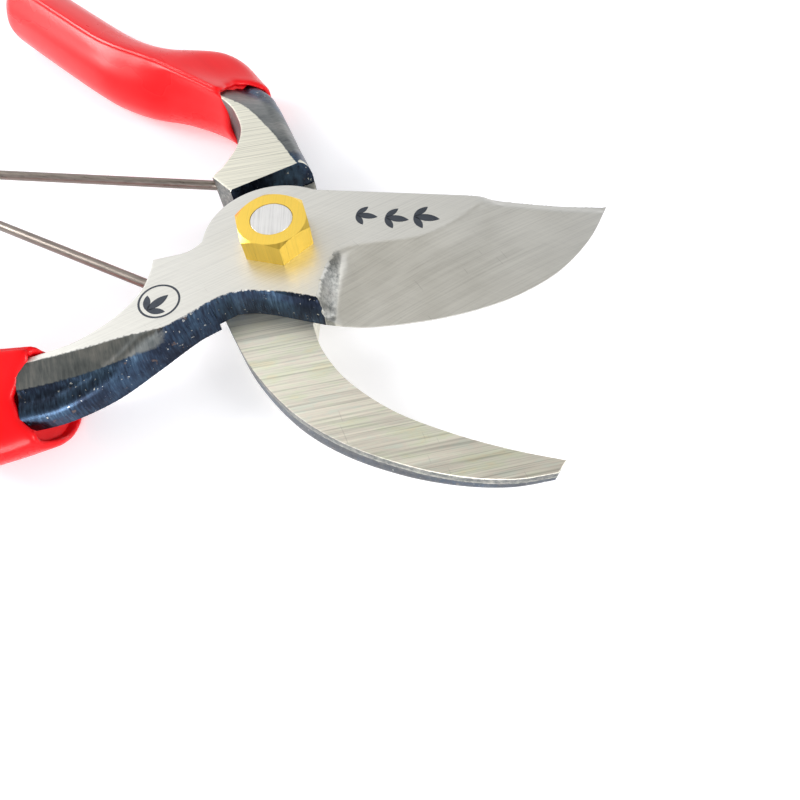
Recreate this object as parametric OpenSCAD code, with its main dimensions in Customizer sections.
// Forged bypass pruning shears, lying open on a level surface.
// Origin: on the pivot axis, at the underside of the bolt head. +X runs along the blade's spine,
// +Z points up through the nut. Tangs and grips are drawn in a handle frame (u, v): u runs along
// the closed handle away from the pivot, and v runs away from the plane between the handles.

/* [Thickness] */
// Height of the bolt head under the lower half
head_h = 3; // [2:0.5:4]
// Thickness of each half where they cross
plate_t = 6; // [5:0.5:7]
// Height of the grips
grip_h = 16.5; // [16:0.5:18]

/* [Pivot] */
// Radius of the round eye of each half
eye_r = 14.6; // [13.5:0.1:15]
// Radius of the pivot bolt
bolt_r = 4; // [3:0.5:4.5]
// Gap between the bolt and each bore
bore_gap = 0.05; // [0.02:0.01:0.1]
// Radius of the bolt head
head_r = 8; // [6:0.5:9]
// Width of the nut across its flats
nut_af = 13; // [12:0.5:14]
// Height of the nut
nut_h = 4.8; // [4:0.2:6]
// Distance from the pivot axis to each shoulder wall
wall_d = 17.1; // [17:0.1:17.6]

/* [Opening] */
// Angle that the halves turn through from open to closed
travel = 52.5; // [40:0.5:54]
// Direction of the cutting handle, seen from above
handle_dir = 195; // [190:0.5:200]

/* [Blade] */
// Thickness left along the cutting edge
edge_t = 0.4; // [0.2:0.1:1]

/* [Grips] */
// Height of the steel core inside each grip
core_h = 7.5; // [6:0.5:9]
// Where the vinyl starts, along the handle
mouth_u = 38; // [37:0.5:38.5]
// How far the cutting grip sits nearer to the middle than the other one
grip_shift = 2.5; // [2:0.1:3]

/* [Spring] */
// Radius of the spring wire
wire_r = 1; // [0.8:0.1:1.2]
// Middle radius of the bend at the far end of the spring
bend_r = 3; // [2.5:0.1:3.2]
// Distance of the bend from the pivot when the shears are open
bend_at = 85; // [80:1:90]
// Place of each wire end along the handle
seat_u = 23.2; // [23:0.1:23.5]
// Place of each wire end out from the middle plane
seat_v = 3.6; // [3.4:0.1:3.8]

/* [Hidden] */
$fn = 96;

z_low = head_h;
z_mid = head_h + plate_t;
z_top = head_h + 2 * plate_t;
full_t = 2 * plate_t;
bore_r = bolt_r + bore_gap;
core_end_u = 122;
grip_sides = 24;
grip_power = 0.72;
grip_end_r = 8;
wire_z = z_mid + 3;
seat_r = wire_r + 1.4;
slot_h = 2 * wire_r + 0.8;
nut_turn = -8.4;
counter_dir = handle_dir - travel;
mid_dir = handle_dir - travel / 2;

// Spring: the seat, the bend and the leg between them, measured from the middle plane
seat_d = norm([seat_u, seat_v]);
seat_angle = atan2(seat_v, seat_u) + travel / 2;
seat_along = seat_d * cos(seat_angle);
seat_off = seat_d * sin(seat_angle);
arm = norm([bend_at - seat_along, seat_off]);
arm_angle = atan2(seat_off, bend_at - seat_along);
lean = arm_angle - asin(bend_r / arm);
leg_len = sqrt(arm * arm - bend_r * bend_r);
arm_angle_shut = asin(seat_v / arm);
bend_slip = 2 * (arm_angle - arm_angle_shut) + 6;

// Points of a smooth curve through hand-placed points
function curve(p, n = 5) = concat(
    [for (i = [0 : len(p) - 2], k = [0 : n - 1])
        let (a = p[max(i - 1, 0)], b = p[i], c = p[i + 1], d = p[min(i + 2, len(p) - 1)], t = k / n)
            0.5 * (2 * b + (c - a) * t + (2 * a - 5 * b + 4 * c - d) * t * t
            + (3 * b - a - 3 * c + d) * t * t * t)],
    [p[len(p) - 1]]);
function back(p) = [for (i = [len(p) - 1 : -1 : 0]) p[i]];
function moved(p, dv) = [for (q = p) [q[0], q[1] + dv]];

// Blade: cutting edge, spine and the line where the ground bevel starts, heel first
edge = curve([[11.2, -15.8], [18, -16], [25, -14.9], [32.5, -13], [40, -10.2], [47.5, -6.2],
              [55.2, 0.2], [61.4, 8.9], [65.4, 18.3]]);
spine = [[0, 13.7], [41, 13.7], [49, 14.8], [57, 16.2], [65.4, 18.3]];
belly = curve([[11.2, -15.8], [4, -14.7], [-1, -13.6]]);
grind = [[13.2, -2], [17, -0.8], [21, 0.2], [26, 1.4], [30, 3.2], [33.4, 5.8], [37, 9.5],
         [40.7, 14], [47, 14.5], [56, 16.2], [65, 18.4]];
grind_foot = [[13.6, -16.4], [21, -15.8], [27.5, -14.7], [34, -12.8], [40, -10.4], [45.5, -7.7],
              [50.5, -4.2], [55, -0.2], [58.6, 4], [62, 9.6], [65.6, 18]];
grind_z = [1, 1, 1, 1, 1, 1, 1, 1, 0.8, 0.5, 0.15] * plate_t;
// Heel: the slope between the flat and the bevel, with the heights of its foot
heel_top = [[10.8, -2.8], [9.9, -8.8], [9.2, -14.6], [8.6, -18.4]];
heel_low = [[13.8, -2], [13.9, -7], [14.1, -12], [14.3, -17.6]];
heel_z = [1.07, 0.7, 0.35, -0.07] * plate_t;
heel_rise = 0.6;

// Tangs, from the eye outwards. inner faces the other handle
cut_inner = concat([[12.5, -3]], curve([[15.3, -1.2], [16.7, -0.2], [18.6, 0.4]]), [[23.8, 0.8]],
    curve([[24.2, 3.5], [25.7, 8.1], [28.9, 12.2], [32.6, 15.2], [40, 18.4]]));
cut_outer = curve([[4, 12], [9.5, 12.4], [12.6, 13.9], [17.5, 16.2], [24.9, 21.5], [32, 26.2],
                   [40, 29.2]]);
counter_inner = concat([[12.5, 0.5], [17.1, 2.4], [23.4, 2.6]],
    curve([[24, 5.8], [26.7, 11.8], [30.3, 16.1], [34.5, 18.6], [40, 20.5]]));
counter_outer = curve([[9, 18], [12.7, 20.3], [20, 23.6], [28.6, 27.7], [36.3, 31.4], [42, 33.2]]);
// Where the ground face of each tang ends, and the way its forged slope falls from there
cut_flank = [[9, 13.5], [14.8, 14.2], [18.5, 16], [22.5, 17.6], [32.3, 19.1], [39, 20]];
cut_fall = [-0.29, 0.957];
counter_flank = [[9, 16.1], [18.5, 18.8], [23.4, 20.2], [32.4, 22.1], [39, 22.6]];
counter_fall = [-0.21, 0.978];
flank_slope = 0.45;

// Grip of the counter handle: both sides have their points at the same places along it
grip_inner = curve([[38, 19.2], [44, 19.6], [50.3, 18.3], [58.7, 15.2], [66, 11.8], [75, 9.4],
                    [84, 8.4], [104, 8], [124, 8]], 3);
grip_outer = curve([[38, 33.6], [44, 35.5], [50.3, 37], [58.7, 37.5], [66, 31.8], [75, 26.4],
                    [84, 25.2], [104, 25], [124, 25]], 3);

// Hook of the counter half
hook_inner = curve([[8.9, -15.9], [11.5, -21.4], [17, -27.5], [25.6, -32.9], [35.6, -36.4],
                    [45.6, -38.7], [54.3, -40.2]]);
hook_outer = curve([[-8.6, -15.6], [-1.2, -25.8], [7.8, -34.3], [17.3, -39.6], [27.7, -42.8],
                    [37.6, -44.1], [46, -43.5], [52.6, -41.8]]);

module handle_frame(counter) {
    if (counter) rotate(counter_dir) mirror([0, 1, 0]) children();
    else rotate(handle_dir) children();
}

// Everything beyond the shoulder wall, in the handle frame
module beyond_wall(counter) {
    wall_far = counter ? [12.6, 17.1] : [12.6, 15.6];
    foot = wall_far - [wall_d, counter ? 2.4 : 0.8];
    out = [foot[1], -foot[0]] / norm(foot);
    rotate(atan2(out[1], out[0])) translate([wall_far * out, -60]) square([200, 120]);
}

// Bare tang up to the mouth of the grip
module bare_plan(inner, outer) {
    intersection() {
        polygon(concat(inner, back(outer)));
        translate([0, -60]) square([mouth_u, 120]);
    }
}

// Steel core inside the grip
module core_plan(shift) {
    polygon(concat([[mouth_u - 3, 19.6 + shift]],
        moved(curve([[44, 21.5], [50, 20.3], [58, 17.4], [66, 13.9], [75, 11.4], [84, 10.4],
                     [core_end_u, 10]], 3), shift),
        moved(curve([[core_end_u, 21.4], [90, 21.6], [74, 22.8], [67, 25.4], [62, 29.2], [59, 32.2],
                     [56, 33.9], [50, 33.4], [44, 31.8]], 3), shift),
        [[mouth_u - 3, 28.2 + shift]]));
}

module core(shift) {
    translate([0, 0, (grip_h - core_h) / 2]) linear_extrude(core_h) core_plan(shift);
}

// Half-round recess that a wire end swings in, milled into the inner wall
module wire_seat() {
    translate([seat_u, seat_v, wire_z - slot_h / 2]) cylinder(r = seat_r, h = slot_h);
}

// Sheet of quads between rows of points, closed with a roof
module grind_cutter(top, low) {
    n = len(top);
    roof = plate_t + 3;
    points = concat(top, low, [for (p = low) [p[0], p[1], roof]], [for (p = top) [p[0], p[1], roof]]);
    faces = concat(
        [for (i = [0 : n - 2], r = [0 : 3])
            let (a = r * n, b = ((r + 1) % 4) * n) [a + i, a + i + 1, b + i + 1]],
        [for (i = [0 : n - 2], r = [0 : 3])
            let (a = r * n, b = ((r + 1) % 4) * n) [a + i, b + i + 1, b + i]],
        [[0, n, 2 * n], [0, 2 * n, 3 * n]],
        [[n - 1, 3 * n - 1, 2 * n - 1], [n - 1, 4 * n - 1, 3 * n - 1]]);
    polyhedron(points = points, faces = faces, convexity = 8);
}

// A point beyond b on the line from a, with the slope carried on
function beyond(a, b, za, zb, over) =
    let (q = b + (b - a) * over) [q[0], q[1], zb + (zb - za) * over];

module blade_grind() {
    past_ridge = 0.12;
    past_edge = 0.2;
    last = len(grind) - 1;
    grind_cutter(
        [for (i = [last : -1 : 0]) beyond(grind_foot[i], grind[i], edge_t, grind_z[i], past_ridge)],
        [for (i = [last : -1 : 0]) beyond(grind[i], grind_foot[i], grind_z[i], edge_t, past_edge)]);
    grind_cutter(
        [for (p = heel_top) [p[0], p[1], plate_t + heel_rise]],
        [for (i = [0 : 3]) [heel_low[i][0], heel_low[i][1], heel_z[i]]]);
}

// Thinning of the spine towards the point
module spine_slope() {
    slope = 11.6;
    translate([41, 5, plate_t]) rotate([0, slope, 0]) cube([40, 30, 20]);
}

// Forged slope from the ground face down to the outer rim of a tang, a strip for each segment
module flank_cutter(line, dir) {
    start = -0.4;
    reach = 14;
    grind_cutter(
        [for (p = line) [p[0] + start * dir[0], p[1] + start * dir[1], plate_t - start * flank_slope]],
        [for (p = line) [p[0] + reach * dir[0], p[1] + reach * dir[1], plate_t - reach * flank_slope]]);
}

module cutting_top_plan() {
    polygon(concat(edge, back(spine), back(belly)));
    circle(r = eye_r);
    handle_frame(false) bare_plan(cut_inner, cut_outer);
}

module cutting_half() {
    color("#a9a49a") difference() {
        union() {
            translate([0, 0, z_mid]) difference() {
                linear_extrude(plate_t) cutting_top_plan();
                blade_grind();
                spine_slope();
                handle_frame(false) flank_cutter(cut_flank, cut_fall);
            }
            handle_frame(false) {
                difference() {
                    translate([0, 0, z_low]) linear_extrude(plate_t) intersection() {
                        bare_plan(cut_inner, cut_outer);
                        beyond_wall(false);
                    }
                    under_cutter(cut_flank, cut_fall);
                }
                core(-grip_shift);
                stop_lug();
            }
        }
        translate([0, 0, z_low - 1]) cylinder(r = bore_r, h = full_t + 2);
        handle_frame(false) wire_seat();
    }
}

module counter_low_plan() {
    circle(r = eye_r);
    polygon(concat([[-6, -9]], hook_outer, back(hook_inner), [[9.5, -8]]));
    handle_frame(true) intersection() {
        polygon(concat([[1, 5]], counter_inner, back(counter_outer), [[0, 15.8], [-5.5, 12]]));
        translate([-20, -60]) square([20 + mouth_u, 120]);
    }
}

module counter_half() {
    color("#b9b3a2") difference() {
        union() {
            difference() {
                translate([0, 0, z_low]) linear_extrude(plate_t) counter_low_plan();
                handle_frame(true) under_cutter(counter_flank, counter_fall);
            }
            handle_frame(true) {
                translate([0, 0, z_mid]) difference() {
                    linear_extrude(plate_t) intersection() {
                        bare_plan(counter_inner, counter_outer);
                        beyond_wall(true);
                    }
                    flank_cutter(counter_flank, counter_fall);
                }
                core(0);
                stop_lug();
            }
        }
        translate([0, 0, z_low - 1]) cylinder(r = bore_r, h = full_t + 2);
        hook_taper();
        handle_frame(true) wire_seat();
    }
}

// The hook's underside rises a little towards its tip
module hook_taper() {
    taper = 3;
    depth = 10;
    translate([30, -60, z_low]) rotate([0, -taper, 0]) translate([0, 0, -depth]) cube([40, 40, depth]);
}

// Lug in the lower layer: the two lugs meet when the shears close
module stop_lug() {
    lug_gap = 0.2;
    lug_h = plate_t - 1;
    translate([18.4, lug_gap, z_low + 0.5]) cube([4.4, 3.4, lug_h]);
}

// The same slope on the underside
module under_cutter(line, dir) {
    translate([0, 0, z_mid]) mirror([0, 0, 1]) flank_cutter(line, dir);
}

module pivot_bolt() {
    dome = 0.8;
    end_chamfer = 0.1;
    color("#8f8d88") rotate_extrude() polygon([[0, 0], [head_r - dome, 0], [head_r, dome],
        [head_r, head_h], [bolt_r, head_h], [bolt_r, z_top + nut_h - end_chamfer],
        [bolt_r - end_chamfer, z_top + nut_h], [0, z_top + nut_h]]);
}

module pivot_nut() {
    corner_r = nut_af / 2 / cos(30);
    chamfer = 0.7;
    color("#d9a92c") translate([0, 0, z_top]) rotate(nut_turn) difference() {
        intersection() {
            cylinder(r = corner_r, h = nut_h, $fn = 6);
            rotate_extrude() polygon([[0, 0], [corner_r + 0.1, 0], [corner_r + 0.1, nut_h - chamfer],
                [nut_af / 2, nut_h], [0, nut_h]]);
        }
        translate([0, 0, -1]) cylinder(r = bore_r, h = nut_h + 2);
    }
}

// Ring of a grip: a rounded box between two widths, flat where it rests
function grip_ring(u, low, high, squeeze) =
    let (mid = (low + high) / 2, half_w = (high - low) / 2 * squeeze, half_h = grip_h / 2 * squeeze)
    [for (k = [0 : grip_sides - 1])
        let (a = k * 360 / grip_sides, c = cos(a), s = sin(a), p = grip_power)
            [u, mid + half_w * sign(c) * pow(abs(c), p), grip_h / 2 + half_h * sign(s) * pow(abs(s), p)]];

module grip(shift) {
    n = len(grip_inner);
    sides = grip_sides;
    end = grip_inner[n - 1];
    rings = concat(
        [for (i = [0 : n - 1])
            grip_ring(grip_inner[i][0], grip_inner[i][1] + shift, grip_outer[i][1] + shift, 1)],
        [for (a = [25 : 25 : 75])
            grip_ring(end[0] + grip_end_r * sin(a), end[1] + shift, grip_outer[n - 1][1] + shift,
                cos(a * 0.9))]);
    m = len(rings);
    polyhedron(
        points = [for (r = rings, p = r) p],
        faces = concat([[for (k = [0 : sides - 1]) k]],
            [for (i = [0 : m - 2], k = [0 : sides - 1])
                [i * sides + k, (i + 1) * sides + k, (i + 1) * sides + (k + 1) % sides]],
            [for (i = [0 : m - 2], k = [0 : sides - 1])
                [i * sides + k, (i + 1) * sides + (k + 1) % sides, i * sides + (k + 1) % sides]],
            [[for (k = [sides - 1 : -1 : 0]) (m - 1) * sides + k]]),
        convexity = 8);
}

module cutting_grip() {
    color("#d4141f") handle_frame(false) difference() {
        grip(-grip_shift);
        core(-grip_shift);
    }
}

module counter_grip() {
    color("#d4141f") handle_frame(true) difference() {
        grip(0);
        core(0);
    }
}

// Wire along a flat path: a ring of points at each path point, closed at both ends
module wire(path) {
    sides = 16;
    n = len(path);
    rings = [for (i = [0 : n - 1])
        let (t = path[min(i + 1, n - 1)] - path[max(i - 1, 0)], across = [t[1], -t[0]] / norm(t))
            for (k = [0 : sides - 1])
                let (a = 360 * k / sides)
                    [path[i][0] + wire_r * cos(a) * across[0], path[i][1] + wire_r * cos(a) * across[1],
                     wire_z + wire_r * sin(a)]];
    polyhedron(
        points = rings,
        faces = concat([[for (k = [sides - 1 : -1 : 0]) k]],
            [for (i = [0 : n - 2], k = [0 : sides - 1])
                [i * sides + k, i * sides + (k + 1) % sides, (i + 1) * sides + (k + 1) % sides]],
            [for (i = [0 : n - 2], k = [0 : sides - 1])
                [i * sides + k, (i + 1) * sides + (k + 1) % sides, (i + 1) * sides + k]],
            [[for (k = [0 : sides - 1]) (n - 1) * sides + k]]),
        convexity = 6);
}

module spring_bend_leg() {
    bend = [for (a = [90 - lean : -10 : -90 + lean + bend_slip])
        [bend_at + bend_r * cos(a), bend_r * sin(a)]];
    color("#6d645a") rotate(mid_dir) wire(concat([[seat_along, seat_off]], bend));
}

module spring_plain_leg() {
    color("#6d645a") rotate(mid_dir) mirror([0, 1, 0]) translate([seat_along, seat_off, wire_z])
        rotate([0, 0, -lean]) rotate([0, 90, 0]) cylinder(r = wire_r, h = leg_len, $fn = 48);
}

cutting_half();
counter_half();
pivot_bolt();
pivot_nut();
cutting_grip();
counter_grip();
spring_bend_leg();
spring_plain_leg();
